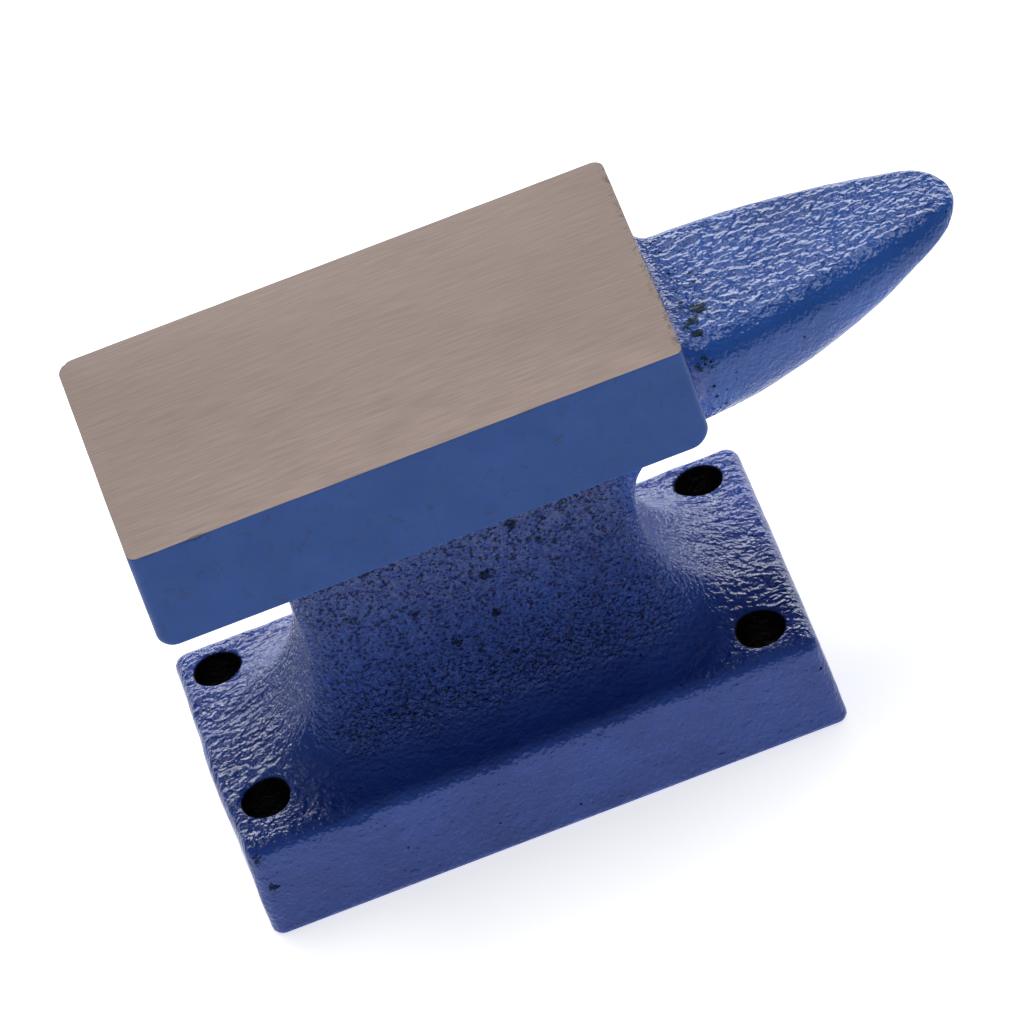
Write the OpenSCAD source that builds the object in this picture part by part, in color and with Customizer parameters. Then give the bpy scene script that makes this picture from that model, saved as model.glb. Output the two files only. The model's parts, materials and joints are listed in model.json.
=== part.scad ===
// Small bench anvil: a cast foot and waist, a machined head block, a ground steel face plate and a cast horn.
// The frame is +X towards the horn, +Y to the back and +Z up, with the origin in the middle of the underside.

/* [Face] */
// Length of the working face, along X
face_l = 57; // [52:0.5:60]
// Width of the working face, along Y
face_w = 32; // [28:0.5:34]
// Height of the working face above the underside
face_z = 51; // [49:0.5:56]
// Thickness of the steel face plate
plate_t = 3; // [2.5:0.1:3.2]

/* [Head] */
// Depth of the head, with the face plate
head_h = 12; // [12:0.5:14]
// How far the head stands back from the middle of the foot
head_back = 1.8; // [0:0.1:2.5]
// Radius of the head's four upright edges
head_edge_r = 1.2; // [0.6:0.1:2]
// Radius along the head's lower end edges
head_heel_r = 1.6; // [1:0.1:2]

/* [Foot] */
// Length of the foot
foot_l = 60.5; // [59:0.5:64]
// Width of the foot at the underside
foot_w = 34; // [32.5:0.1:35]
// Height of the foot at its rim
foot_h = 10.9; // [9:0.1:12]
// How much further in the front and back of the foot are at the top than at the underside
side_draft = 0.6; // [0.2:0.1:1]
// The same at the two ends of the foot
end_draft = 0.2; // [0:0.1:1]
// Radius along the foot's upper and upright edges
foot_edge_r = 1.2; // [0.8:0.1:1.6]

/* [Screw holes] */
// Diameter of the four holes
hole_d = 4.8; // [4:0.1:5.2]
// Distance of the left pair from the middle of the foot
left_pair_x = 26.1; // [25:0.1:27]
// Distance of the right pair from the middle of the foot
right_pair_x = 25.2; // [25:0.1:27]
// Spacing of the left pair
left_pair_gap = 21.1; // [18:0.1:24]
// Spacing of the right pair
right_pair_gap = 24.2; // [18:0.1:24.5]
// How far the middle of the left pair is behind the middle of the foot
left_pair_y = 0.9; // [-1:0.1:1]

/* [Waist] */
// Length of the waist at its narrowest
waist_l = 35; // [32:0.2:36]
// How far the waist stands towards the horn from the middle of the foot
waist_x = 0.35; // [0:0.05:0.6]
// Width of the waist at its narrowest
waist_w = 13; // [12:0.5:16]
// Radius of the sweeps at the two ends of the waist
end_sweep_r = 11.5; // [10:0.1:12]
// Radius of the sweeps at the front and back of the waist
side_sweep_r = 9.2; // [7:0.1:9.4]

/* [Horn] */
// Length of the horn beyond the head
horn_l = 30.6; // [24:0.2:36]
// Width of the horn at its root
horn_w = 20.6; // [18:0.2:22]
// How far the horn's flat top lies below the working face, at the root
horn_step = 5.7; // [5:0.1:6.5]
// How much the horn's top rises towards the tip
horn_rise = 0.7; // [0:0.1:1]
// Depth of the horn's belly at the root, below its widest level
belly_d = 10; // [9:0.1:10.5]
// Radius along the edges of the horn's top
horn_edge_r = 2; // [1.5:0.1:2.2]

/* [Hidden] */

$fn = 96;
paint = [0.13, 0.22, 0.52];
bare_steel = [0.62, 0.58, 0.54];

head_z = face_z - head_h;                // underside of the head
block_z = face_z - plate_t;              // top of the head block
root_x = face_l / 2 - head_back;         // plane where the horn meets the head
sweep_x = waist_l / 2 + end_sweep_r;     // centres of the end sweeps, from the waist's middle
sweep_z = foot_h + end_sweep_r;
side_sweep_y = waist_w / 2 + side_sweep_r;
side_sweep_z = foot_h + side_sweep_r;
cheek_from = 14;                         // where the cheeks start to widen from the waist
cheek_to = 24;                           // where they are as wide as the horn
far = 100;                               // longer than any size of the anvil

boss_l = 24;                             // register boss between the waist and the head
boss_w = 7;
boss_h = 2.5;
rib_l = 44;                              // dovetail ribs under the face plate
rib_h = 2;
rib_neck_w = 3;
rib_foot_w = 4.4;
rib_y = 9;
spigot_d = 5;                            // round spigot at the horn's root
spigot_l = 10;
spigot_z = (head_z + block_z) / 2;

belly_power = 2.8;                       // squareness of the horn's belly: 2 is an ellipse
nose_power = 8;                          // bluntness of the horn's tip in side view
nose_z = face_z - 6.7;                   // height of the very tip
horn_taper_l = 1.04;                     // length of the ellipse the horn follows from above, in horn lengths
horn_slimming = 0.1;                     // how much slimmer than that ellipse the horn gets
tip_power = 40;                          // bluntness of the horn's tip from above
horn_rings = 18;
ring_points = 32;

// Stands a 2D outline drawn in X and Z up, and extrudes it to both sides along Y
module along_y(width) {
    rotate([90, 0, 0]) linear_extrude(width, center = true) children();
}

// Stands a 2D outline drawn in Y and Z up, and extrudes it from the plane x = from
module along_x(length, from) {
    translate([from, 0, 0]) rotate([90, 0, 90]) linear_extrude(length) children();
}

// Rectangle with four round corners, centred
module round_rect(l, w, r) {
    square([l - 2 * r, w], center = true);
    square([l, w - 2 * r], center = true);
    for (x = [-1, 1], y = [-1, 1]) translate([x * (l / 2 - r), y * (w / 2 - r)]) circle(r);
}

// The foot's outline from one side, with its draft and its round upper edges
module foot_side(width, draft) {
    top = width / 2 - draft;
    polygon([[-width / 2, 0], [width / 2, 0], [top, foot_h - foot_edge_r], [-top, foot_h - foot_edge_r]]);
    translate([-top + foot_edge_r, 0]) square([2 * (top - foot_edge_r), foot_h]);
    for (s = [-1, 1]) translate([s * (top - foot_edge_r), foot_h - foot_edge_r]) circle(foot_edge_r);
}

// The body from the front: the foot, the waist, and one sweep that runs from the foot up to the horn
module front_outline() {
    foot_side(foot_l, end_draft);
    translate([waist_x, 0]) difference() {
        translate([-sweep_x, 0]) square([2 * sweep_x, sweep_z]);
        for (s = [-1, 1]) translate([s * sweep_x, sweep_z]) circle(end_sweep_r);
    }
    difference() {
        translate([waist_x - waist_l / 2, 0]) square([root_x - waist_x + waist_l / 2, head_z]);
        translate([waist_x + sweep_x, sweep_z]) circle(end_sweep_r);
        translate([waist_x + waist_l / 2, 0]) square([far, sweep_z]);
    }
}

// The body from the end: the foot, the two side sweeps and the upright waist
module end_outline() {
    foot_side(foot_w, side_draft);
    difference() {
        translate([-side_sweep_y, 0]) square([2 * side_sweep_y, side_sweep_z]);
        for (s = [-1, 1]) translate([s * side_sweep_y, side_sweep_z]) circle(side_sweep_r);
    }
    translate([-waist_w / 2, 0]) square([waist_w, head_z]);
}

// The horn's shape by the share t of its length, from 0 at the root to 1 at the tip
function smooth(t) = t * t * (3 - 2 * t);
function nose(t) = sqrt(max(0, 1 - pow(t, nose_power)));
function horn_top(t) = nose_z + (face_z - horn_step + horn_rise * t - nose_z) * nose(t);
function blunt(t) = sqrt(max(0, 1 - pow(t, tip_power)));
function oval(t) = sqrt(1 - t * t) * (1 - horn_slimming * smooth(t));
function horn_half(t) = horn_w / 2 * oval(t / horn_taper_l) * blunt(t);
function horn_edge(t) = min(horn_edge_r, horn_half(t) * 0.8) * nose(t);
function horn_belly(t) = belly_d * (1 - pow(t, 1.8));

// Height of a superellipse quarter at the share s of its half width
function belly_share(s) = pow(max(0, 1 - pow(s, belly_power)), 1 / belly_power);

// One cross-section as [y, z] points: a flat top with round edges, and a round belly
function horn_section(t) = let (
    half = horn_half(t), r = horn_edge(t), mid = horn_top(t) - r,
    n = ring_points / 4,
    edge = [for (i = [0:n - 1]) let (a = 90 * i / (n - 1)) [half - r + r * cos(a), mid + r * sin(a)]],
    belly = [for (i = [1:n]) let (s = cos(90 * i / n)) [half * s, mid - horn_belly(t) * belly_share(s)]]
) concat(
    [for (i = [n - 1:-1:0]) edge[i]],
    belly,
    [for (i = [n - 2:-1:0]) [-belly[i][0], belly[i][1]]],
    [for (p = edge) [-p[0], p[1]]]
);

// The horn as a loft through its cross-sections; the rings crowd together towards the tip
module horn_shell() {
    ts = [for (i = [0:horn_rings]) sin(90 * i / horn_rings) * 0.998];
    rings = [for (t = ts) [for (p = horn_section(t)) [root_x + horn_l * t, p[0], p[1]]]];
    count = len(rings[0]);
    points = [for (ring = rings, p = ring) p];
    walls = [for (k = [0:horn_rings - 1], i = [0:count - 1]) let (
        j = (i + 1) % count, a = k * count, b = a + count
    ) each [[a + i, a + j, b + i], [a + j, b + j, b + i]]];
    root_cap = [[for (i = [count - 1:-1:0]) i]];
    tip_cap = [[for (i = [0:count - 1]) horn_rings * count + i]];
    polyhedron(points, concat(walls, root_cap, tip_cap), convexity = 4);
}

// The cheeks under the head that widen from the waist and carry the horn's belly
module throat() {
    difference() {
        intersection() {
            along_x(root_x, 0) intersection() {
                polygon(horn_section(0));
                translate([-far / 2, 0]) square([far, head_z]);
            }
            linear_extrude(far) polygon([
                [cheek_from, -waist_w / 2], [cheek_to, -horn_w / 2], [far, -horn_w / 2],
                [far, horn_w / 2], [cheek_to, horn_w / 2], [cheek_from, waist_w / 2]
            ]);
        }
        translate([waist_x + sweep_x, 0, sweep_z]) rotate([90, 0, 0])
            cylinder(r = end_sweep_r, h = far, center = true);
        translate([0, -far / 2, 0]) cube([far, far, sweep_z]);
    }
}

module screw_hole(x, y) {
    translate([x, y, -1]) cylinder(d = hole_d, h = foot_h + end_sweep_r);
}

// Outline of one dovetail rib, hanging from its root
module rib_outline() {
    polygon([
        [-rib_neck_w / 2, 0], [-rib_foot_w / 2, -rib_h], [rib_foot_w / 2, -rib_h], [rib_neck_w / 2, 0]
    ]);
}

module ribs() {
    for (s = [-1, 1]) along_x(rib_l, -head_back - rib_l / 2) translate([s * rib_y, block_z]) rib_outline();
}

module boss() {
    translate([-head_back, 0, head_z]) linear_extrude(boss_h) round_rect(boss_l, boss_w, boss_w / 2 - 0.5);
}

module spigot() {
    translate([root_x - spigot_l, 0, spigot_z]) rotate([0, 90, 0]) cylinder(d = spigot_d, h = spigot_l);
}

module base_casting() {
    color(paint) {
        difference() {
            union() {
                intersection() {
                    along_y(far) front_outline();
                    along_x(far, -far / 2) end_outline();
                    linear_extrude(far) round_rect(foot_l, foot_w, foot_edge_r);
                }
                throat();
            }
            for (s = [-1, 1]) {
                screw_hole(-left_pair_x, left_pair_y + s * left_pair_gap / 2);
                screw_hole(right_pair_x, s * right_pair_gap / 2);
            }
        }
        boss();
    }
}

module head_block() {
    color(paint) difference() {
        translate([-head_back, 0, 0]) intersection() {
            linear_extrude(block_z) round_rect(face_l, face_w, head_edge_r);
            along_y(far) union() {
                translate([-face_l / 2 + head_heel_r, head_z]) square([face_l - 2 * head_heel_r, head_h]);
                translate([-face_l / 2, head_z + head_heel_r]) square([face_l, head_h]);
                for (s = [-1, 1]) translate([s * (face_l / 2 - head_heel_r), head_z + head_heel_r])
                    circle(head_heel_r);
            }
        }
        boss();
        ribs();
        spigot();
    }
}

module face_plate() {
    color(bare_steel) {
        translate([-head_back, 0, block_z]) linear_extrude(plate_t) round_rect(face_l, face_w, head_edge_r);
        ribs();
    }
}

module horn() {
    color(paint) {
        horn_shell();
        spigot();
    }
}

base_casting();
head_block();
face_plate();
horn();
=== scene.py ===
"""A small bench anvil: blue enamelled iron castings under a bare, ground steel face.

Lengths in the shape code are millimetres in the frame's axes; MM turns them into Blender's metres.
"""

import json
import math
from types import SimpleNamespace

import bmesh
import bpy
import numpy as np
from mathutils import Matrix, Vector


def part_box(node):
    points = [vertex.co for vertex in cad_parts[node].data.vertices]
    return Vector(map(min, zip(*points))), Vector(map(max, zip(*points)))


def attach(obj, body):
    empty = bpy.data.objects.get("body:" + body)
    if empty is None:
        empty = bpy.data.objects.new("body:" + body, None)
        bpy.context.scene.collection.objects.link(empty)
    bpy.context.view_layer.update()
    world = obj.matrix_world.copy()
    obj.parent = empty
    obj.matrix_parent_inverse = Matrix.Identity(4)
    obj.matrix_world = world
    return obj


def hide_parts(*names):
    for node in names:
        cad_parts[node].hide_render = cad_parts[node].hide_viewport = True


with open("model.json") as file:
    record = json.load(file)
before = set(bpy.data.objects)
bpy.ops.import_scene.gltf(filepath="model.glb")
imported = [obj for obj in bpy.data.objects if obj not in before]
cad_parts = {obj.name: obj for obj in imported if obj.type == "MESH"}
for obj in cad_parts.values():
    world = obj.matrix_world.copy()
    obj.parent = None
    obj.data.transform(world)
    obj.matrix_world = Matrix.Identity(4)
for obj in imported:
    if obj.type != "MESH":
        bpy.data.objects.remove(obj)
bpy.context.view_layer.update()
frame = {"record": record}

MM = 0.001
BODY = "root"

# ---------------------------------------------------------------- sizes, from the frame


def box_mm(node):
    """Lowest and highest corner of a CAD node, in millimetres."""
    low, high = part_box(node)
    return np.array(low) / MM, np.array(high) / MM


CAST_LO, CAST_HI = box_mm("base_casting")
BLOCK_LO, BLOCK_HI = box_mm("head_block")
PLATE_LO, PLATE_HI = box_mm("face_plate")
HORN_LO, HORN_HI = box_mm("horn")

HEAD_Z = BLOCK_LO[2]                  # underside of the head
SEAM_Z = BLOCK_HI[2]                  # face plate on head block
FACE_Z = PLATE_HI[2]
HEAD_HALF = (BLOCK_HI[:2] - BLOCK_LO[:2]) / 2
HEAD_MID_X = (BLOCK_LO[0] + BLOCK_HI[0]) / 2
ROOT_X = BLOCK_HI[0]                  # plane where the horn meets the head
HORN_LENGTH = HORN_HI[0] - ROOT_X
HORN_HALF = (HORN_HI[1] - HORN_LO[1]) / 2

FOOT_HALF_LENGTH = (CAST_HI[0] - CAST_LO[0]) / 2
FOOT_HALF_WIDTH = (CAST_HI[1] - CAST_LO[1]) / 2
FOOT_HEIGHT = 10.9                    # at the rim
SIDE_DRAFT, RIGHT_DRAFT = 0.6, 0.5    # how far the sides and the right end lean in at the top
LEFT_SHORT, RIGHT_LONG = 0.2, 0.25    # how much the rough ends miss the nominal length
LEFT_BULGE = 0.4                      # swelling of the upright left end, just in front of its middle
BULGE_Y, BULGE_REACH = -3.0, 8.0
FOOT_EDGE = 1.4                       # rounding of the foot's upper edges
FOOT_CROWN = 0.55                     # how much the foot's top rises from rim to waist
BOTTOM_EDGE, HOLE_EDGE = 0.35, 0.3    # rounding round the underside and the mouths of the holes

WAIST_X = 0.35                        # the waist stands this far towards the horn
WAIST_HALF_LENGTH = 17.45
WAIST_HALF_WIDTH = 6.5
WAIST_CORNER = 2.6                    # radius of the waist's upright corners
END_SWEEP = 11.5                      # radius of the sweeps at the waist's ends
SIDE_SWEEP = 9.2                      # radius of the sweeps at its front and back
END_SWEEP_Z = FOOT_HEIGHT + END_SWEEP
SIDE_SWEEP_Z = FOOT_HEIGHT + SIDE_SWEEP

THROAT_START = 8.0                    # the cheeks under the head begin here, inside the waist
THROAT_NARROW_X, THROAT_FULL_X = 12.0, 24.0
THROAT_HALF = 5.3                     # half width of the cheeks where they are narrow
THROAT_FILLET = 1.5                   # rounding between cheeks and waist

BOSS_HALF_LENGTH, BOSS_HALF_WIDTH = 12.0, 3.5
BOSS_CORNER, BOSS_SINK = 3.0, 2.0     # its corner radius, and how far it reaches down into the waist
BOSS_TOP = CAST_HI[2]
RIB_LENGTH, RIB_Y = 44.0, 9.0
RIB_NECK, RIB_FOOT, RIB_BOTTOM = 3.0, 4.4, PLATE_LO[2]
SPIGOT_RADIUS, SPIGOT_LENGTH = 2.5, ROOT_X - HORN_LO[0]
SPIGOT_Z = (HEAD_Z + SEAM_Z) / 2

WRINKLES_START, WRINKLES_FULL = 15.0, 20.0      # the foot's top is wrinkled this far from the middle


def hole_centres():
    """The four screw holes (x, y, radius), read from the record's hole patterns."""
    found = []
    for mount in frame["record"]["mounts"]:
        if mount["kind"] == "bolt_pattern":
            x, y, _ = (v / MM for v in mount["pos_m"])
            gap, radius = mount["dims"]["spacing_y_mm"], mount["dims"]["hole_r_mm"]
            found += [(x, y - gap / 2, radius), (x, y + gap / 2, radius)]
    return found


# ---------------------------------------------------------------- noise


class Noise:
    """Seeded gradient noise in three dimensions, from about -1 to 1."""

    GAIN = 1.6

    def __init__(self, seed):
        rng = np.random.default_rng(seed)
        self.order = rng.permutation(256)
        slopes = rng.normal(size=(256, 3))
        self.slopes = slopes / np.linalg.norm(slopes, axis=1)[:, None]

    def __call__(self, points, period):
        p = points / np.asarray(period, float)
        cell = np.floor(p).astype(int)
        part = p - cell
        ease = part**3 * (part * (part * 6 - 15) + 10)
        total = np.zeros(len(p))
        for corner in np.ndindex(2, 2, 2):
            at = (cell + corner) & 255
            pick = self.order[(self.order[(self.order[at[:, 0]] + at[:, 1]) & 255] + at[:, 2]) & 255]
            reach = np.einsum("ij,ij->i", self.slopes[pick], part - corner)
            total += reach * np.prod(np.where(corner, ease, 1 - ease), axis=1)
        return total * self.GAIN


def layered(noise, points, period):
    """Noise with a second layer, half as coarse and half as high."""
    return noise(points, period) + noise(points, period / 2) / 2


def ramp(value, low, high):
    """0 below low, 1 above high, and smooth between."""
    t = np.clip((value - low) / (high - low), 0, 1)
    return t * t * (3 - 2 * t)


# ---------------------------------------------------------------- mesh helpers

CREASE_ANGLE = 40                     # degrees; corners sharper than this stay crisp


def mesh_object(name, points, faces, smooth=True):
    """A new object from points in millimetres."""
    mesh = bpy.data.meshes.new(name)
    mesh.from_pydata(np.asarray(points) * MM, [], faces)
    mesh.validate()
    mesh.polygons.foreach_set("use_smooth", np.full(len(mesh.polygons), smooth))
    piece = bpy.data.objects.new(name, mesh)
    bpy.context.scene.collection.objects.link(piece)
    return piece


def points_of(piece):
    """Vertices and vertex normals of a piece, vertices in millimetres."""
    count = len(piece.data.vertices)
    points, normals = np.zeros(count * 3), np.zeros(count * 3)
    piece.data.vertices.foreach_get("co", points)
    piece.data.vertex_normals.foreach_get("vector", normals)
    return points.reshape(-1, 3) / MM, normals.reshape(-1, 3)


def push(piece, points, normals, distance):
    """Moves each vertex along its normal by that many millimetres."""
    moved = (points + normals * distance[:, None]) * MM
    piece.data.vertices.foreach_set("co", moved.ravel())
    piece.data.update()


def mixed_cells(inside):
    """The grid cells that have corners on both sides of the surface."""
    shape = np.array(inside.shape) - 1
    count = np.zeros(shape, np.int8)
    for c in np.ndindex(2, 2, 2):
        count += inside[c[0]:shape[0] + c[0], c[1]:shape[1] + c[1], c[2]:shape[2] + c[2]]
    return np.argwhere((count > 0) & (count < 8))


def crossing_middles(field, cells):
    """In each cell, the middle of the places where the surface crosses its edges, in grid steps."""
    total, hits = np.zeros((len(cells), 3)), np.zeros(len(cells))
    for a in np.ndindex(2, 2, 2):
        for axis in range(3):
            if a[axis]:
                continue
            b = tuple(v + (i == axis) for i, v in enumerate(a))
            fa, fb = (field[tuple((cells + c).T)] for c in (a, b))
            crossed = (fa < 0) != (fb < 0)
            share = np.where(crossed, fa / np.where(crossed, fa - fb, 1), 0)
            at = np.array(a, float) + share[:, None] * np.eye(3)[axis]
            total += at * crossed[:, None]
            hits += crossed
    return cells + total / hits[:, None]


def quads_along(inside, number, axis):
    """A quad round each grid edge along the axis that the surface crosses, facing outwards."""
    u, v = (axis + 1) % 3, (axis + 2) % 3
    first, second = [slice(None)] * 3, [slice(None)] * 3
    first[axis], second[axis] = slice(0, -1), slice(1, None)
    here, there = inside[tuple(first)], inside[tuple(second)]
    quads = []
    for starts in (True, False):
        edges = np.argwhere((here != there) & (here == starts))
        edges = edges[(edges[:, u] > 0) & (edges[:, v] > 0)]
        around = []
        for du, dv in ((-1, -1), (0, -1), (0, 0), (-1, 0)):
            at = edges.copy()
            at[:, u] += du
            at[:, v] += dv
            around.append(number[tuple(at.T)])
        quads.append(np.stack(around if starts else around[::-1], axis=1))
    return np.concatenate(quads)


def surface_net(field, low, step):
    """Points and quads of the zero surface of a sampled distance field, negative inside."""
    inside = field < 0
    cells = mixed_cells(inside)
    points = low + crossing_middles(field, cells) * step
    number = np.full(np.array(field.shape) - 1, -1)
    number[tuple(cells.T)] = np.arange(len(cells))
    return points, np.concatenate([quads_along(inside, number, axis) for axis in range(3)])


def closed_loft(rings):
    """Points and faces of a tube through rings of equal length, with a flat face at each end."""
    count = len(rings[0])
    steps = np.arange(count)
    after = (steps + 1) % count
    walls = []
    for k in range(len(rings) - 1):
        lower, upper = k * count, (k + 1) * count
        walls.append(np.stack([lower + steps, lower + after, upper + after, upper + steps], 1))
    faces = np.concatenate(walls).tolist()
    faces.append(steps[::-1].tolist())
    faces.append(((len(rings) - 1) * count + steps).tolist())
    return np.concatenate(rings), faces


def cutter(outline, low, high, axis):
    """A prism for a joint: an outline of (u, v) points carried along X or Z from low to high."""
    rings = []
    for level in (low, high):
        pairs = np.array(outline, float)
        column = np.full((len(pairs), 1), level)
        rings.append(np.hstack([column, pairs]) if axis == "X" else np.hstack([pairs, column]))
    piece = mesh_object("cutter", *closed_loft(rings), smooth=False)
    draft = bmesh.new()
    draft.from_mesh(piece.data)
    bmesh.ops.recalc_face_normals(draft, faces=draft.faces)
    draft.to_mesh(piece.data)
    draft.free()
    return piece


def combine(piece, others, operation):
    """Joins prisms to a piece, or cuts them out of it, for good."""
    for other in others:
        step = piece.modifiers.new("joint", "BOOLEAN")
        step.operation, step.solver, step.object = operation, "EXACT", other
    depsgraph = bpy.context.evaluated_depsgraph_get()
    made = bpy.data.meshes.new_from_object(piece.evaluated_get(depsgraph))
    piece.modifiers.clear()
    old, piece.data = piece.data, made
    made.name = piece.name
    bpy.data.meshes.remove(old)
    for other in others:
        bpy.data.meshes.remove(other.data)


def crease(piece):
    """Keeps sharp corners crisp in smooth shading."""
    piece.data.set_sharp_from_angle(angle=math.radians(CREASE_ANGLE))


def circle(radius, centre, count=64):
    turn = np.linspace(0, 2 * np.pi, count, endpoint=False)
    return np.stack([centre[0] + radius * np.cos(turn), centre[1] + radius * np.sin(turn)], 1)


def even_points(line, count, closed=True):
    """That many points spread evenly along a polyline."""
    if closed:
        line = np.vstack([line, line[:1]])
    run = np.concatenate([[0], np.cumsum(np.linalg.norm(np.diff(line, axis=0), axis=1))])
    at = np.linspace(0, run[-1], count, endpoint=not closed)
    return np.stack([np.interp(at, run, line[:, i]) for i in range(line.shape[1])], 1)


# ---------------------------------------------------------------- the cast foot and waist

GRID_STEP, GRID_MARGIN = 0.34, 1.0    # sampling of the casting's distance field
BLEND_REACH = 1.17                    # a blend this wide rounds an edge to a radius of 1
LUMP_HEIGHT, LUMP_PERIOD = 0.09, 6.0
GRAIN_HEIGHT, GRAIN_PERIOD = 0.03, 1.5
FOLD_HEIGHT, FOLD_PERIOD = 0.07, (2.6, 1.3, 2.0)
PIT_DEPTH, PIT_PERIOD = 0.12, 1.3


def soft_max(a, b, radius):
    """Larger of two fields, with an edge rounded to that radius."""
    reach = radius * BLEND_REACH
    h = np.clip(reach - np.abs(a - b), 0, None) / reach
    return np.maximum(a, b) + h * h * reach / 4


def soft_min(a, b, radius):
    return -soft_max(-a, -b, radius)


def round_rect_field(x, y, half_x, half_y, radius):
    """Plan distance to a rectangle with round corners, and the share of X in its direction."""
    qx, qy = np.abs(x) - half_x + radius, np.abs(y) - half_y + radius
    ox, oy = np.maximum(qx, 0), np.maximum(qy, 0)
    away = np.hypot(ox, oy)
    share = np.where(away > 1e-6, ox**2 / np.maximum(away**2, 1e-12), qx > qy)
    return away + np.minimum(np.maximum(qx, qy), 0) - radius, share


def foot_field(x, y, z):
    """Plan distance to the foot's four faces: the left end upright and swollen, the rest with draft."""
    up = z / FOOT_HEIGHT
    bulge = LEFT_BULGE * up * np.exp(-((y - BULGE_Y) / BULGE_REACH) ** 2)
    left = FOOT_HALF_LENGTH - LEFT_SHORT + bulge
    right = FOOT_HALF_LENGTH + RIGHT_LONG - RIGHT_DRAFT * up
    half_x = np.where(x < 0, left, right)
    return round_rect_field(x, y, half_x, FOOT_HALF_WIDTH - SIDE_DRAFT * up, FOOT_EDGE)[0]


def throat_field(x, y, z):
    """Distance to the cheeks under the head: a horn-like section, as deep as the end sweep leaves it."""
    level = horn_top(0) - horn_edge(0, FAR_EDGE)
    sweep_x = WAIST_X + WAIST_HALF_LENGTH + END_SWEEP
    arc = END_SWEEP_Z + np.sqrt(np.clip(END_SWEEP**2 - (x - sweep_x) ** 2, 0, None))
    depth = level - arc
    half = THROAT_HALF + (HORN_HALF - THROAT_HALF) * ramp(x, THROAT_NARROW_X, THROAT_FULL_X)
    side, down = np.abs(y) / half, np.maximum(level - z, 0) / depth
    reach = np.maximum((side**BELLY_POWER + down**BELLY_POWER) ** (1 / BELLY_POWER), 1e-3)
    slope = np.hypot((side / reach) ** (BELLY_POWER - 1) / half, (down / reach) ** (BELLY_POWER - 1) / depth)
    cheeks = (reach - 1) / np.maximum(slope, 1e-3)
    ends = np.maximum(x - ROOT_X, THROAT_START - x)
    return np.maximum(np.maximum(cheeks, ends), END_SWEEP_Z - z)


def waist_field(x, y, z):
    """Distance to the waist and the sweeps at its foot, over the gently crowned top of the foot."""
    top = FOOT_HEIGHT + FOOT_CROWN * (1 - (y / FOOT_HALF_WIDTH) ** 2)
    plan, along = round_rect_field(x - WAIST_X, y, WAIST_HALF_LENGTH, WAIST_HALF_WIDTH, WAIST_CORNER)
    sweep = SIDE_SWEEP + (END_SWEEP - SIDE_SWEEP) * along
    centre = top + sweep
    hollow = sweep - np.hypot(plan - sweep, z - centre)
    return np.where(z > centre, plan, np.where(plan < sweep, hollow, z - top))


def casting_field(x, y, z):
    """Distance field of the foot, the waist with its sweeps, the throat and the register boss."""
    body = waist_field(x, y, z)
    body = np.where(z > END_SWEEP_Z, soft_min(body, throat_field(x, y, z), THROAT_FILLET), body)
    body = np.maximum(body, z - HEAD_Z)
    body = np.where(z > END_SWEEP_Z, np.maximum(body, x - ROOT_X), body)
    body = np.where(z < SIDE_SWEEP_Z, soft_max(body, foot_field(x, y, z), FOOT_EDGE), body)
    body = soft_max(body, -z, BOTTOM_EDGE)
    for hole_x, hole_y, radius in hole_centres():
        body = soft_max(body, radius - np.hypot(x - hole_x, y - hole_y), HOLE_EDGE)
    boss, _ = round_rect_field(x - HEAD_MID_X, y, BOSS_HALF_LENGTH, BOSS_HALF_WIDTH, BOSS_CORNER)
    boss = np.maximum(np.maximum(boss, z - BOSS_TOP), HEAD_Z - BOSS_SINK - z)
    return np.minimum(body, boss)


def cast_skin(points, normals):
    """Height of the sand-cast, enamelled skin above the true form."""
    lumps, grain, folds, pits = Noise(11), Noise(12), Noise(13), Noise(14)
    on_foot = ramp(FOOT_HEIGHT + 5 - points[:, 2], 0, 3)
    to_ends = ramp(np.abs(points[:, 0] - WAIST_X), WRINKLES_START, WRINKLES_FULL)
    wrinkled = ramp(normals[:, 2], 0.5, 0.9) * to_ends * on_foot
    skin = LUMP_HEIGHT * layered(lumps, points, LUMP_PERIOD)
    skin += GRAIN_HEIGHT * layered(grain, points, GRAIN_PERIOD)
    skin += wrinkled * FOLD_HEIGHT * folds(points, FOLD_PERIOD)
    deep = ramp(pits(points, PIT_PERIOD), 0.62, 0.8)
    return skin - PIT_DEPTH * deep * (1 - wrinkled)


def cast_freedom(points):
    """0 where the casting keeps its exact form, at the underside, the seams and the holes; 1 elsewhere."""
    x, y, z = points[:, 0], points[:, 1], points[:, 2]
    free = ramp(z, 0.2, 0.8)
    free *= 1 - ramp(z, HEAD_Z - 1.2, HEAD_Z - 0.3)
    free *= 1 - ramp(x, ROOT_X - 1.0, ROOT_X - 0.3) * (z > END_SWEEP_Z)
    for hole_x, hole_y, radius in hole_centres():
        free *= ramp(np.hypot(x - hole_x, y - hole_y), radius + 0.1, radius + 0.6)
    return free


def make_base_casting():
    low = CAST_LO - GRID_MARGIN
    counts = np.ceil((CAST_HI + GRID_MARGIN - low) / GRID_STEP).astype(int) + 1
    x, y, z = (low[i] + GRID_STEP * np.arange(counts[i]) for i in range(3))
    field = casting_field(x[:, None, None], y[None, :, None], z[None, None, :])
    piece = mesh_object("base_casting_skin", *surface_net(field, low, GRID_STEP))
    points, normals = points_of(piece)
    push(piece, points, normals, cast_skin(points, normals) * cast_freedom(points))
    return piece


# ---------------------------------------------------------------- the horn

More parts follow.
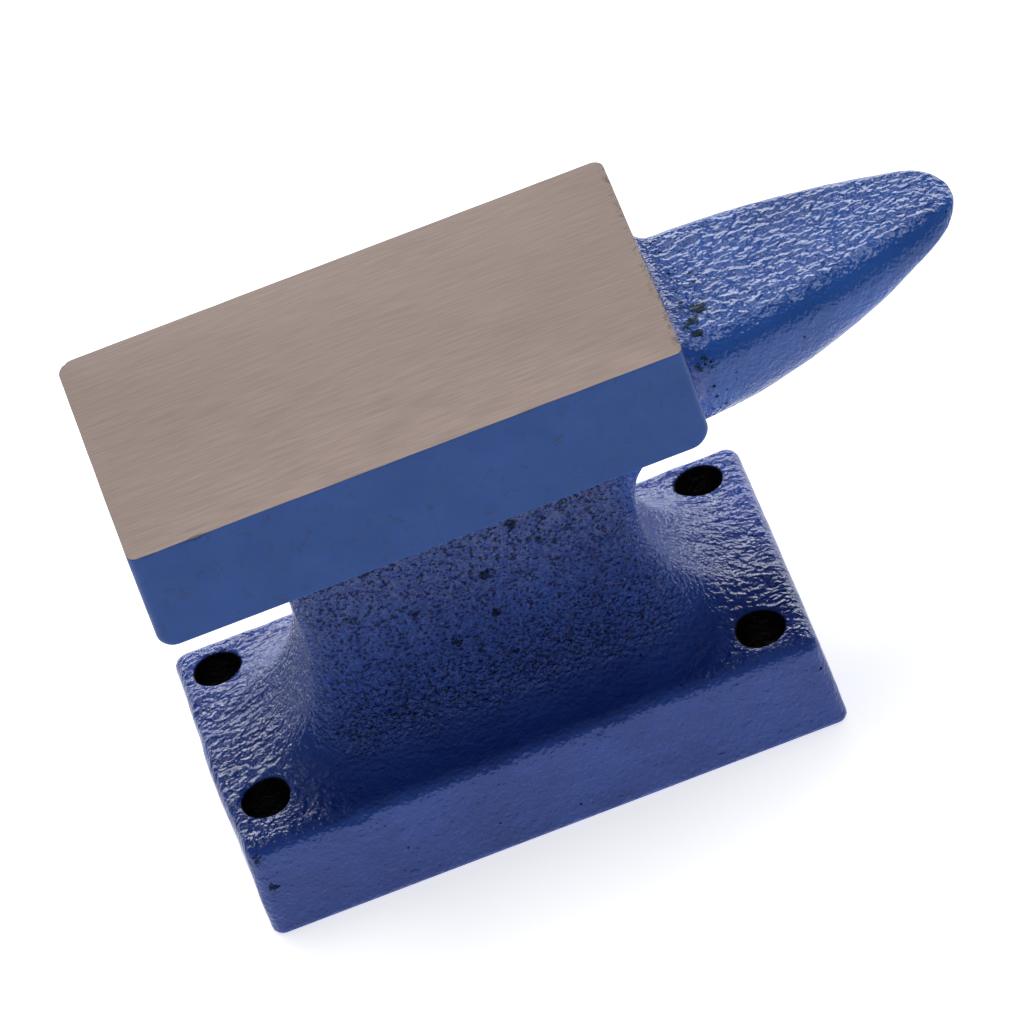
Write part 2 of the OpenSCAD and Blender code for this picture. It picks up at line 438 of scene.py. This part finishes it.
# Along the horn, t runs from 0 at the head to 1 at the tip.
HORN_STEP, HORN_RISE = 5.7, 0.7       # the flat top: below the face at the root, and its rise to the tip
NOSE_Z = FACE_Z - 6.7                 # height of the very tip
NOSE_POWER, TIP_POWER = 8, 40         # bluntness of the tip from the side and from above
TAPER_LENGTH, SLIMMING = 1.04, 0.1    # the plan oval's length against the horn's, and how it slims
HORN_BELLY, BELLY_TAPER = 10.0, 1.8   # depth of the belly at the root, and how late it tapers
BELLY_POWER = 2.8                     # squareness of the belly: 2 is an ellipse
NEAR_EDGE, FAR_EDGE = 2.8, 2.0        # rounding beside the flat top, in front and behind
EDGE_SHARE = 0.8                      # most of the half width that this rounding may take
FAR_FULLNESS, FULLNESS_START = 0.14, 0.7        # the tip's far side is fuller than its near side
ROOT_FILLET = 1.8                     # hollow fillet between horn and head
FLARE_DROP = 5.0                      # the fillet spreads away from a point this far below the top
RINGS_AROUND, RINGS_ALONG, SPIGOT_RINGS = 288, 180, 12
LAST_RING = 0.99995                   # t of the last ring, just short of 1 so that it has an area
HORN_LUMP_HEIGHT, HORN_LUMP_PERIOD = 0.06, 5.0
HORN_GRAIN_HEIGHT, HORN_GRAIN_PERIOD = 0.018, 1.1
HORN_FOLD_HEIGHT, HORN_FOLD_PERIOD = 0.055, (2.2, 1.1, 1.6)


def nose(t):
    return np.sqrt(np.clip(1 - t**NOSE_POWER, 0, None))


def horn_top(t):
    return NOSE_Z + (FACE_Z - HORN_STEP + HORN_RISE * t - NOSE_Z) * nose(t)


def horn_half(t):
    share = t / TAPER_LENGTH
    oval = np.sqrt(np.clip(1 - share**2, 0, None)) * (1 - SLIMMING * ramp(share, 0, 1))
    return HORN_HALF * oval * np.sqrt(np.clip(1 - t**TIP_POWER, 0, None))


def horn_edge(t, radius):
    return np.minimum(radius, horn_half(t) * EDGE_SHARE) * nose(t)


def horn_belly(t):
    return HORN_BELLY * (1 - t**BELLY_TAPER)


def half_section(t, half, edge):
    """One side of a cross-section as (y, z), from the middle of the flat top round to the bottom."""
    top = horn_top(t)
    bottom = top - horn_edge(t, FAR_EDGE) - horn_belly(t)
    turn = np.linspace(0, np.pi / 2, 24)
    rim = np.stack([half - edge + edge * np.sin(turn), top - edge + edge * np.cos(turn)], 1)
    across = np.cos(turn[1:])
    depth = (top - edge - bottom) * (1 - across**BELLY_POWER) ** (1 / BELLY_POWER)
    under = np.stack([half * across, top - edge - depth], 1)
    return np.vstack([[[0, top]], rim, under])


def horn_section(t, count):
    """A whole cross-section of the horn: flat top, round edges, squarish round belly."""
    fullness = 1 + FAR_FULLNESS * ramp(t, FULLNESS_START, 1.0)
    far = half_section(t, horn_half(t) * fullness, horn_edge(t, FAR_EDGE))
    near = half_section(t, horn_half(t), horn_edge(t, NEAR_EDGE))
    return even_points(np.vstack([far, near[-2:0:-1] * [-1, 1]]), count)


def root_flare(section, beyond):
    """Spreads a section of the horn near its root into a hollow fillet against the head."""
    if beyond >= ROOT_FILLET:
        return section
    flare = ROOT_FILLET - math.sqrt(ROOT_FILLET**2 - (ROOT_FILLET - beyond) ** 2)
    out = section - [0, horn_top(0) - FLARE_DROP]
    out /= np.linalg.norm(out, axis=1)[:, None]
    return section + out * flare * ramp(section[:, 1], HEAD_Z, HEAD_Z + 2)[:, None]


def horn_skin(points, normals):
    """Height of the enamel on the horn: folds that run lengthwise on its flat top, peel elsewhere."""
    lumps, grain, folds = Noise(21), Noise(22), Noise(23)
    up = ramp(normals[:, 2], 0.6, 0.95)
    skin = HORN_LUMP_HEIGHT * layered(lumps, points, HORN_LUMP_PERIOD)
    skin += HORN_GRAIN_HEIGHT * layered(grain, points, HORN_GRAIN_PERIOD)
    skin += up * HORN_FOLD_HEIGHT * folds(points, HORN_FOLD_PERIOD)
    return skin


def spigot_rings():
    """Rings of the round spigot, from its end to the root, with their points where the horn has its own."""
    start = horn_section(0, RINGS_AROUND)
    turn = np.arctan2(start[:, 1] - SPIGOT_Z, start[:, 0])
    ring = np.stack([SPIGOT_RADIUS * np.cos(turn), SPIGOT_Z + SPIGOT_RADIUS * np.sin(turn)], 1)
    places = ROOT_X - np.linspace(SPIGOT_LENGTH, 0, SPIGOT_RINGS)
    return [np.hstack([np.full((RINGS_AROUND, 1), x), ring]) for x in places]


def horn_rings():
    """Rings of the horn itself, closer together where its outline turns in at the tip."""
    fine = np.linspace(0, 1, 4000)
    outline = np.stack([fine * HORN_LENGTH, horn_half(fine)], 1)
    shares = even_points(outline, RINGS_ALONG, closed=False)[:, 0] / HORN_LENGTH
    shares[-1] = LAST_RING
    rings = []
    for t in shares:
        beyond = t * HORN_LENGTH
        section = root_flare(horn_section(t, RINGS_AROUND), beyond)
        rings.append(np.hstack([np.full((RINGS_AROUND, 1), ROOT_X + beyond), section]))
    return rings


def make_horn():
    piece = mesh_object("horn_skin", *closed_loft(spigot_rings() + horn_rings()))
    points, normals = points_of(piece)
    free = ramp(points[:, 0], ROOT_X + 0.05, ROOT_X + ROOT_FILLET + 0.8)
    push(piece, points, normals, horn_skin(points, normals) * free)
    crease(piece)
    return piece


# ---------------------------------------------------------------- the head block and the face plate

CORNERS = [(-1, -1, 1.0), (1, -1, 0.7), (1, 1, 1.2), (-1, 1, 1.8)]      # side in x, side in y, radius
OUTLINE_STEP = 0.3
HEEL_LEFT, HEEL_RIGHT, HEEL_SIDE = 1.3, 2.0, 0.25       # rounding of the head's lower edges
HEEL = max(HEEL_LEFT, HEEL_RIGHT)
HEEL_RINGS, UPPER_RINGS = 14, 24
RIM = 0.05                            # mean chamfer round the working face
NICK_X, NICK_DEPTH, NICK_REACH = -23.4, 0.5, 0.7        # the one large nick in its front edge
RIM_CHIP = 0.3                        # depth of the small chips round it


def head_outline():
    """The head's plan outline (x, y), evenly spaced, and its outward directions."""
    line, ways = [], []
    for number, (side_x, side_y, radius) in enumerate(CORNERS):
        first = (180 + 90 * number) % 360
        middle = np.array([side_x, side_y]) * (HEAD_HALF - radius)
        for angle in np.radians(first + np.linspace(0, 90, 12)):
            way = np.array([math.cos(angle), math.sin(angle)])
            line.append(middle + radius * way)
            ways.append(way)
    count = int(4 * HEAD_HALF.sum() / OUTLINE_STEP)
    both = even_points(np.hstack([line, ways]), count)
    way = both[:, 2:] / np.linalg.norm(both[:, 2:], axis=1)[:, None]
    return both[:, :2] + [HEAD_MID_X, 0], way


def head_skin(points):
    """Height of the thin enamel on the machined sides: the same on block and plate, so they stay flush."""
    return 0.02 * layered(Noise(31), points, 5.0) + 0.006 * Noise(32)(points, 1.2)


def push_out(piece, way, rings, free):
    """Lays the enamel on a lofted part of the head, along the outline's outward directions."""
    points, _ = points_of(piece)
    outward = np.tile(np.column_stack([way, np.zeros(len(way))]), (rings, 1))
    push(piece, points, outward, head_skin(points) * free(points[:, 2]))


def set_in(radius, rise):
    """How far a rounded lower edge stands in, this far above the bottom."""
    missing = np.maximum(radius - rise, 0)
    return radius - np.sqrt(radius**2 - missing**2)


def rounded_slot(half_length, half_width):
    """Outline of the pocket for the register boss, round at its ends."""
    ends = half_length - half_width
    turn = np.linspace(-np.pi / 2, np.pi / 2, 17)
    right = np.stack([ends + half_width * np.cos(turn), half_width * np.sin(turn)], 1)
    return np.vstack([right, -right]) + [HEAD_MID_X, 0]


def rib(side, top):
    """One dovetail rib, or the groove for it, up to the level top."""
    middle = side * RIB_Y
    outline = [
        (middle - RIB_FOOT / 2, RIB_BOTTOM), (middle + RIB_FOOT / 2, RIB_BOTTOM),
        (middle + RIB_NECK / 2, SEAM_Z), (middle + RIB_NECK / 2, top),
        (middle - RIB_NECK / 2, top), (middle - RIB_NECK / 2, SEAM_Z),
    ]
    return cutter(outline, HEAD_MID_X - RIB_LENGTH / 2, HEAD_MID_X + RIB_LENGTH / 2, "X")


def make_head_block():
    line, way = head_outline()
    heel = np.where(line[:, 0] < HEAD_MID_X, HEEL_LEFT, HEEL_RIGHT)
    round_part = HEEL * (1 - np.cos(np.linspace(0, np.pi / 2, HEEL_RINGS)))
    plain_part = np.linspace(HEEL, SEAM_Z - HEAD_Z, UPPER_RINGS)[1:]
    rings = []
    for rise in np.concatenate([round_part, plain_part]):
        x = HEAD_MID_X + (line[:, 0] - HEAD_MID_X) * (1 - set_in(heel, rise) / HEAD_HALF[0])
        y = line[:, 1] * (1 - set_in(HEEL_SIDE, rise) / HEAD_HALF[1])
        rings.append(np.column_stack([x, y, np.full(len(line), HEAD_Z + rise)]))
    piece = mesh_object("head_block_skin", *closed_loft(rings))
    push_out(piece, way, len(rings), lambda z: ramp(z, HEAD_Z, HEAD_Z + 1))
    pocket = cutter(rounded_slot(BOSS_HALF_LENGTH, BOSS_HALF_WIDTH), HEAD_Z - 1, BOSS_TOP, "Z")
    socket = cutter(circle(SPIGOT_RADIUS, (0, SPIGOT_Z)), ROOT_X - SPIGOT_LENGTH, ROOT_X + 1, "X")
    combine(piece, [pocket, socket] + [rib(side, SEAM_Z + 1) for side in (-1, 1)], "DIFFERENCE")
    crease(piece)
    return piece


def face_rim(line, way):
    """Chamfer round the working face: unevenly worn, with small chips and one large nick in front."""
    points = np.column_stack([line, np.zeros(len(line))])
    wear = 0.5 + 0.5 * np.clip(Noise(41)(points, 2.5), -1, 1)
    rim = RIM * (0.6 + 1.2 * wear)
    rim += RIM_CHIP * ramp(Noise(42)(points, 0.9), 0.75, 1.0)
    rim += NICK_DEPTH * np.exp(-((line[:, 0] - NICK_X) / NICK_REACH) ** 2) * (way[:, 1] < -0.5)
    return rim


def make_face_plate():
    line, way = head_outline()
    rim = face_rim(line, way)
    rings = [np.column_stack([line, np.full(len(line), SEAM_Z)])]
    for share in np.linspace(0, 1, 10)[1:]:
        rings.append(np.column_stack([line, SEAM_Z + share * (FACE_Z - rim - SEAM_Z)]))
    for angle in np.linspace(0, np.pi / 2, 6)[1:]:
        inset, drop = rim * (1 - math.cos(angle)), rim * (1 - math.sin(angle))
        rings.append(np.column_stack([line - way * inset[:, None], FACE_Z - drop]))
    piece = mesh_object("face_plate_skin", *closed_loft(rings))
    push_out(piece, way, len(rings), lambda z: z < FACE_Z - 0.01)
    combine(piece, [rib(side, SEAM_Z + 0.5) for side in (-1, 1)], "UNION")
    crease(piece)
    return piece


# ---------------------------------------------------------------- materials

# Linear colours. A pair is the darkest and the lightest tone of the same paint or metal.
CAST_BLUES = (0.017, 0.054, 0.290, 1), (0.024, 0.076, 0.370, 1)
# The horn's enamel is the same paint; its lighter, greener tones are painted light, matched to how its top is
# lit.
HORN_BLUES_WITH_PAINTED_LIGHT = (0.016, 0.076, 0.330, 1), (0.022, 0.098, 0.410, 1)
SIDE_BLUES = (0.008, 0.064, 0.290, 1), (0.011, 0.074, 0.318, 1)
STEELS = (0.326, 0.255, 0.226, 1), (0.360, 0.284, 0.251, 1)
PAPERS = (0.88, 0.88, 0.88, 1), (0.92, 0.92, 0.92, 1)
# Painted light: a brighter blue for the lit sweeps at the waist's ends.
PAINTED_LIGHT_SWEEP_BLUE = (0.018, 0.090, 0.440, 1)
# Painted sheen: pale grey-blue that stands in for light reflected off the waist's rough front.
PAINTED_SHEEN_BLUE = (0.128, 0.164, 0.345, 1)
# Painted shade: near-black blue for the dark sides of the grain on the waist's front.
PORE_SHADE_BLUE = (0.004, 0.012, 0.085, 1)
PINHOLE_BLUE = (0.003, 0.006, 0.030, 1)
CHIP_BLACK = (0.003, 0.006, 0.012, 1)
STAIN_GREEN = (0.010, 0.028, 0.022, 1)
# Painted shade: black inside the screw holes, where little light reaches.
HOLE_SHADE_BLACK = (0.004, 0.004, 0.004, 1)
MARK_BLUE = (0.012, 0.048, 0.170, 1)
LINE_STEEL = (0.270, 0.210, 0.186, 1)
SCRATCH_STEEL = (0.40, 0.33, 0.30, 1)
WORN_EDGE = (0.05, 0.05, 0.055, 1)

# Places of the larger chips on the waist and foot, and of the stain round the horn's root: x, y, z, radius.
CHIPS = [(5.7, -6.5, 30.3, 1.7), (1.7, -6.5, 25.4, 1.5), (-3.2, -6.5, 19.0, 1.5), (1.6, -6.5, 20.4, 1.2),
         (7.9, -6.5, 27.1, 1.2), (-6.1, -6.5, 23.8, 1.1), (-29.2, -16.6, 10.0, 1.8), (-28.6, -16.8, 6.0, 1.3)]
STAINS = [(30.1, -3.8, 45.4, 2.3), (28.5, -2.9, 45.4, 1.4), (28.9, -5.6, 45.4, 2.0), (28.9, -7.4, 45.3, 1.5),
          (28.6, -9.8, 43.2, 1.7)]


class Nodes:
    """Short calls for building a node tree."""

    def __init__(self, name):
        self.material = bpy.data.materials.new(name)
        self.material.use_nodes = True
        self.tree = self.material.node_tree
        self.shader = self.tree.nodes["Principled BSDF"]
        self.place = self.add("ShaderNodeTexCoord").outputs["Object"]

    def add(self, kind, inputs=None, **settings):
        node = self.tree.nodes.new(kind)
        for key, value in settings.items():
            setattr(node, key, value)
        for key, value in (inputs or {}).items():
            self.put(node.inputs[key], value)
        return node

    def put(self, socket, value):
        if isinstance(value, bpy.types.NodeSocket):
            self.tree.links.new(value, socket)
        else:
            socket.default_value = value

    def math(self, operation, a, b=0.0):
        return self.add("ShaderNodeMath", {0: a, 1: b}, operation=operation).outputs[0]

    def chain(self, operation, values):
        """One operation over several values, from left to right."""
        result = values[0]
        for value in values[1:]:
            result = self.math(operation, result, value)
        return result

    def times(self, *values):
        return self.chain("MULTIPLY", values)

    def plus(self, *values):
        return self.chain("ADD", values)

    def most(self, *values):
        return self.chain("MAXIMUM", values)

    def rest(self, value):
        """What the value leaves of 1."""
        return self.math("SUBTRACT", 1.0, value)

    def noise(self, per_mm, detail=2.0, rough=0.5, scale=(1, 1, 1), distort=0.0):
        mapping = self.add("ShaderNodeMapping", {"Vector": self.place})
        mapping.inputs["Scale"].default_value = scale
        node = self.add("ShaderNodeTexNoise", {"Vector": mapping.outputs[0]})
        node.inputs["Scale"].default_value = per_mm / MM
        node.inputs["Detail"].default_value = detail
        node.inputs["Roughness"].default_value = rough
        node.inputs["Distortion"].default_value = distort
        return node.outputs[0]

    def range(self, value, low, high, to_low=0.0, to_high=1.0):
        node = self.add("ShaderNodeMapRange", {"Value": value}, interpolation_type="SMOOTHSTEP")
        for key, v in (("From Min", low), ("From Max", high), ("To Min", to_low), ("To Max", to_high)):
            node.inputs[key].default_value = v
        return node.outputs[0]

    def mix(self, factor, a, b):
        node = self.add("ShaderNodeMix", data_type="RGBA")
        for socket, value in ((node.inputs[0], factor), (node.inputs[6], a), (node.inputs[7], b)):
            self.put(socket, value)
        return node.outputs[2]

    def bump(self, height, distance_mm, normal=None):
        node = self.add("ShaderNodeBump", {"Height": height})
        node.inputs["Distance"].default_value = distance_mm * MM
        node.inputs["Strength"].default_value = 1.0
        if normal is not None:
            self.put(node.inputs["Normal"], normal)
        return node.outputs[0]

    def axis(self, vector, name):
        return self.add("ShaderNodeSeparateXYZ", {0: vector}).outputs[name]

    def spot(self, centre_mm, radius_mm):
        """1 at a point on the object, falling to 0 at the radius."""
        node = self.add("ShaderNodeVectorMath", {0: self.place}, operation="DISTANCE")
        node.inputs[1].default_value = Vector(centre_mm) * MM
        return self.range(node.outputs["Value"], 0, radius_mm * MM, 1.0, 0.0)


def specks(n, per_mm, rare, size):
    """Small round dots, one in some of the cells of an even scatter: 1 in a dot and 0 outside."""
    cells = n.add("ShaderNodeTexVoronoi", {"Vector": n.place}, feature="F1")
    cells.inputs["Scale"].default_value = per_mm / MM
    chance = n.axis(cells.outputs["Color"], "X")
    radius = n.times(n.range(chance, rare, 1.0), size * per_mm)
    inside = n.math("SUBTRACT", radius, cells.outputs["Distance"])
    return n.range(inside, 0.0, 0.10)


def drilled(n, height):
    """1 inside the four screw holes, whose walls are painted black as shade."""
    level = n.add("ShaderNodeVectorMath", {0: n.place}, operation="MULTIPLY")
    level.inputs[1].default_value = (1, 1, 0)
    total = 0.0
    for x, y, radius in hole_centres():
        away = n.add("ShaderNodeVectorMath", {0: level.outputs[0]}, operation="DISTANCE")
        away.inputs[1].default_value = (x * MM, y * MM, 0)
        inside = n.range(away.outputs["Value"], (radius + 0.25) * MM, (radius + 0.08) * MM)
        total = n.plus(total, inside)
    in_foot = n.range(height, END_SWEEP_Z * MM, SIDE_SWEEP_Z * MM)
    return n.times(total, in_foot)


def blotches(n, places, per_mm):
    """Ragged patches, each round a point given as (x, y, z, radius)."""
    total = 0.0
    for x, y, z, radius in places:
        total = n.most(total, n.spot((x, y, z), radius))
    ragged = n.plus(n.noise(per_mm, detail=4.0, rough=0.7), n.times(total, 0.34))
    return n.range(ragged, 0.70, 0.76)


def cast_zones(n):
    """Parts of the two castings, as masks from 0 to 1 that fade over a few millimetres."""
    height, along = n.axis(n.place, "Z"), n.axis(n.place, "X")
    normal = n.add("ShaderNodeNewGeometry").outputs["Normal"]
    level = n.range(n.axis(normal, "Z"), 0.72, 0.97)
    above_foot = n.range(height, (FOOT_HEIGHT + 0.5) * MM, (FOOT_HEIGHT + 4) * MM)
    below_head = n.range(height, (HEAD_Z + 1.5) * MM, HEAD_Z * MM)
    beyond_head = n.range(along, ROOT_X * MM, (ROOT_X + 2) * MM)
    to_ends = n.range(n.math("ABSOLUTE", along), WRINKLES_START * MM, WRINKLES_FULL * MM)
    near_root = n.range(along, (ROOT_X + 6) * MM, (ROOT_X + 3) * MM)
    before_fillet = n.range(along, (ROOT_X + 3.2) * MM, (ROOT_X + 1) * MM)
    behind_fillet = n.range(along, (ROOT_X - 1) * MM, ROOT_X * MM)
    fillet = n.times(above_foot, before_fillet, behind_fillet)
    horn = n.times(above_foot, beyond_head)
    waist = n.times(above_foot, below_head, n.rest(beyond_head))
    return SimpleNamespace(
        height=height,
        horn=horn,
        root=n.times(near_root, horn),
        waist=waist,
        front=n.times(waist, n.rest(to_ends)),
        sweeps=n.times(waist, to_ends),
        wrinkled=n.times(level, to_ends, n.rest(n.times(fillet, 0.8))),
    )


def cast_flaws(n, zones):
    """What breaks the enamel, each as a mask from 0 to 1; the pits of the grain and the screw holes also
    carry painted shade.
    """
    # Pits in the grainy enamel of the waist; their dark colour is painted shade.
    shaded_pores = n.times(n.range(n.noise(2.7, detail=1.0), 0.43, 0.36), zones.front)
    scattered = specks(n, 0.75, rare=0.72, size=0.22)
    at_root = n.times(specks(n, 1.6, rare=0.22, size=0.25), zones.root)
    return SimpleNamespace(
        shaded_pores=shaded_pores,
        pinholes=n.most(scattered, at_root),
        chips=blotches(n, CHIPS, 1.9),
        stains=blotches(n, STAINS, 1.2),
        # Screw holes, painted black as shade.
        holes=drilled(n, zones.height),
    )


def cast_colour(n, zones, flaws, grain):
    """Blue enamel, with a painted sheen on the front of the waist, painted light on the horn and the sweeps,
    and its flaws on top, the pits of the grain and the screw holes darkened as painted shade.
    """
    tone = n.range(n.noise(0.12, detail=3.0, rough=0.55), 0.3, 0.7)
    # The horn gets a lighter, greener copy of the same enamel: painted light.
    blue = n.mix(zones.horn, n.mix(tone, *CAST_BLUES), n.mix(tone, *HORN_BLUES_WITH_PAINTED_LIGHT))
    # Painted sheen on the front of the waist, stronger towards the head and on the lighter grain.
    higher = n.range(zones.height, 15 * MM, HEAD_Z * MM)
    painted_sheen = n.times(zones.front, higher, n.range(grain, 0.38, 0.60, 0.25, 1.0))
    blue = n.mix(painted_sheen, blue, PAINTED_SHEEN_BLUE)
    # Painted light: the sweeps at the waist's ends made brighter and bluer.
    blue = n.mix(n.times(zones.sweeps, 0.6), blue, PAINTED_LIGHT_SWEEP_BLUE)
    # Pits darkened almost to black: painted shade.
    blue = n.mix(n.times(flaws.shaded_pores, 0.9), blue, PORE_SHADE_BLUE)
    blue = n.mix(flaws.pinholes, blue, PINHOLE_BLUE)
    blue = n.mix(n.times(flaws.chips, 0.85), blue, CHIP_BLACK)
    blue = n.mix(n.times(flaws.stains, 0.9), blue, STAIN_GREEN)
    # Screw holes painted black: painted shade.
    return n.mix(flaws.holes, blue, HOLE_SHADE_BLACK)


def cast_relief(n, zones, flaws, grain):
    """Fine relief in layers: soft waves, folds where the top is wrinkled, sandy grain, and pores."""
    normal = n.bump(n.noise(0.8), 0.20)
    folds = n.noise(1.15, detail=1.2, rough=0.45, scale=(0.78, 1.0, 0.8), distort=0.3)
    normal = n.bump(n.times(folds, n.plus(zones.wrinkled, 0.16)), 0.46, normal)
    sandy = n.plus(zones.front, n.times(zones.waist, 0.25), 0.30)
    normal = n.bump(n.times(grain, sandy), 0.55, normal)
    return n.bump(n.rest(n.most(flaws.shaded_pores, flaws.pinholes)), 0.10, normal)


def cast_enamel():
    """Glossy blue enamel over a sand-cast skin: wrinkled on top, grainy and pitted on the waist."""
    n = Nodes("cast_enamel")
    zones = cast_zones(n)
    flaws = cast_flaws(n, zones)
    grain = n.noise(2.4, detail=1.5, rough=0.55)
    dull = n.most(flaws.chips, flaws.stains, flaws.pinholes, flaws.holes)
    rough = n.range(n.noise(0.5, detail=3.0, rough=0.6), 0.3, 0.7, 0.13, 0.22)
    n.put(n.shader.inputs["Base Color"], cast_colour(n, zones, flaws, grain))
    n.put(n.shader.inputs["Roughness"], n.plus(rough, n.times(dull, 0.35)))
    n.put(n.shader.inputs["Specular IOR Level"], n.range(dull, 0, 1, 0.38, 0.10))
    n.put(n.shader.inputs["Normal"], cast_relief(n, zones, flaws, grain))
    n.shader.inputs["IOR"].default_value = 1.5
    return n.material


def smooth_enamel():
    """The same enamel, thin and even over machined sides, with faint cloudy marks."""
    n = Nodes("smooth_enamel")
    tone = n.noise(0.14, detail=4.0, rough=0.6)
    blue = n.mix(n.range(tone, 0.32, 0.68), *SIDE_BLUES)
    marks = n.range(n.noise(0.7, detail=5.0, rough=0.74, distort=0.8), 0.54, 0.68)
    blue = n.mix(n.times(marks, 0.85), blue, MARK_BLUE)
    rough = n.range(n.noise(0.6, detail=3.0, rough=0.6), 0.3, 0.7, 0.36, 0.50)
    n.put(n.shader.inputs["Base Color"], blue)
    n.put(n.shader.inputs["Roughness"], rough)
    n.put(n.shader.inputs["Normal"], n.bump(n.noise(0.5, detail=3.0), 0.035))
    n.shader.inputs["Specular IOR Level"].default_value = 0.3
    return n.material


def ground_steel():
    """Bare steel with the fine lengthwise lines of a surface grinder."""
    n = Nodes("ground_steel")
    lines = n.noise(4.0, detail=3.0, rough=0.6, scale=(0.05, 1.0, 1.0))
    scratches = n.range(n.noise(1.1, rough=0.6, scale=(0.10, 1.6, 1.0), distort=0.3), 0.60, 0.66)
    cloud = n.noise(0.07, detail=4.0, rough=0.6, scale=(0.6, 1.0, 1.0))
    steel = n.mix(n.range(cloud, 0.3, 0.7), *STEELS)
    steel = n.mix(n.range(lines, 0.35, 0.65, 0.0, 0.45), steel, LINE_STEEL)
    steel = n.mix(n.times(scratches, 0.18), steel, SCRATCH_STEEL)
    rim = n.range(n.axis(n.place, "X"), (ROOT_X - 0.9) * MM, (ROOT_X - 0.1) * MM)
    worn = n.times(rim, n.range(n.noise(1.6, detail=3.0, rough=0.7), 0.52, 0.62))
    steel = n.mix(n.times(worn, 0.6), steel, WORN_EDGE)
    n.put(n.shader.inputs["Base Color"], steel)
    n.put(n.shader.inputs["Roughness"], n.range(lines, 0.3, 0.7, 0.46, 0.62))
    n.put(n.shader.inputs["Normal"], n.bump(lines, 0.008))
    n.shader.inputs["Metallic"].default_value = 0.5
    return n.material


def dress(piece, node, slot, *materials):
    """Materials, and what the piece stands for in the frame."""
    for material in materials:
        piece.data.materials.append(material)
    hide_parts(node)
    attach(piece, BODY)


# ---------------------------------------------------------------- stage, in metres and degrees

FLOOR_SIZE, FLOOR_GLOW = 3.0, 0.70    # half its length, and the paper's own brightness
FLOOR_GAP = 0.03                      # millimetres between the paper and the anvil's flat underside
ROOM_LIGHT = 0.14                     # what reaches the anvil from the rest of the room
WALL_PLACE, WALL_SIZE, WALL_WATTS = (0.12, 0.80, 0.145), (1.3, 0.23), 4.8
OVERHEAD_PLACE, OVERHEAD_SIZE, OVERHEAD_WATTS = (0.0, 0.30, 1.0), (0.9, 0.6), 7
LIGHT_AIM = (0, 0, 0.025)
AZIMUTH, ELEVATION, ROLL = 1.5, 40.2, 19.84
CAMERA_AIM, CAMERA_DISTANCE = (0.00644, 0.0, 0.02625), 1.3094
LENS, SENSOR = 469.4, 36.0            # millimetres
NEAREST, FARTHEST = 0.1, 20


def pale_floor():
    """White paper that glows a little, as on a light table, so that shadows stay faint."""
    corners = np.array([[-1, -1], [1, -1], [1, 1], [-1, 1]]) * FLOOR_SIZE / MM
    corners = np.hstack([corners, np.full((4, 1), -FLOOR_GAP)])
    floor = mesh_object("floor", corners, [[0, 1, 2, 3]], smooth=False)
    n = Nodes("floor_paper")
    n.put(n.shader.inputs["Base Color"], n.mix(n.noise(0.004), *PAPERS))
    n.shader.inputs["Roughness"].default_value = 0.9
    n.shader.inputs["Emission Color"].default_value = (1, 1, 1, 1)
    n.shader.inputs["Emission Strength"].default_value = FLOOR_GLOW
    floor.data.materials.append(n.material)


def soft_light(name, place, size, watts):
    light = bpy.data.lights.new(name, "AREA")
    light.shape, light.size, light.size_y, light.energy = "RECTANGLE", size[0], size[1], watts
    lamp = bpy.data.objects.new(name, light)
    lamp.location = place
    lamp.rotation_euler = (Vector(LIGHT_AIM) - Vector(place)).to_track_quat("-Z", "Y").to_euler()
    bpy.context.scene.collection.objects.link(lamp)


def studio():
    """A bright, wide wall of light behind the anvil, a weak one above, and a dim room in front."""
    world = bpy.data.worlds.new("studio")
    bpy.context.scene.world = world
    world.use_nodes = True
    background = world.node_tree.nodes["Background"]
    background.inputs["Color"].default_value = (1, 1, 1, 1)
    background.inputs["Strength"].default_value = ROOM_LIGHT
    soft_light("back_wall", WALL_PLACE, WALL_SIZE, WALL_WATTS)
    soft_light("overhead", OVERHEAD_PLACE, OVERHEAD_SIZE, OVERHEAD_WATTS)
    bpy.context.scene.view_settings.view_transform = "Standard"


def photo_camera():
    """A long lens from the front, 40 degrees up, tilted so that the anvil leans."""
    azimuth, elevation, roll = (math.radians(angle) for angle in (AZIMUTH, ELEVATION, ROLL))
    forward = Vector((math.sin(azimuth) * math.cos(elevation), math.cos(azimuth) * math.cos(elevation),
                      -math.sin(elevation)))
    camera = bpy.data.objects.new("camera", bpy.data.cameras.new("camera"))
    camera.data.lens, camera.data.sensor_width = LENS, SENSOR
    camera.data.clip_start, camera.data.clip_end = NEAREST, FARTHEST
    turned = forward.to_track_quat("-Z", "Y").to_matrix() @ Matrix.Rotation(-roll, 3, "Z")
    place = Vector(CAMERA_AIM) - forward * CAMERA_DISTANCE
    camera.matrix_world = Matrix.Translation(place) @ turned.to_4x4()
    bpy.context.scene.collection.objects.link(camera)
    bpy.context.scene.camera = camera


# ---------------------------------------------------------------- the anvil

enamel, sides, steel = cast_enamel(), smooth_enamel(), ground_steel()
dress(make_base_casting(), "base_casting", "cast_enamel", enamel)
dress(make_horn(), "horn", "cast_enamel", enamel)
dress(make_head_block(), "head_block", "smooth_enamel", sides)
plate = make_face_plate()
dress(plate, "face_plate", "ground_steel", sides, steel)
for face in plate.data.polygons:
    face.material_index = int(face.normal.z > 0.5)

pale_floor()
studio()
photo_camera()
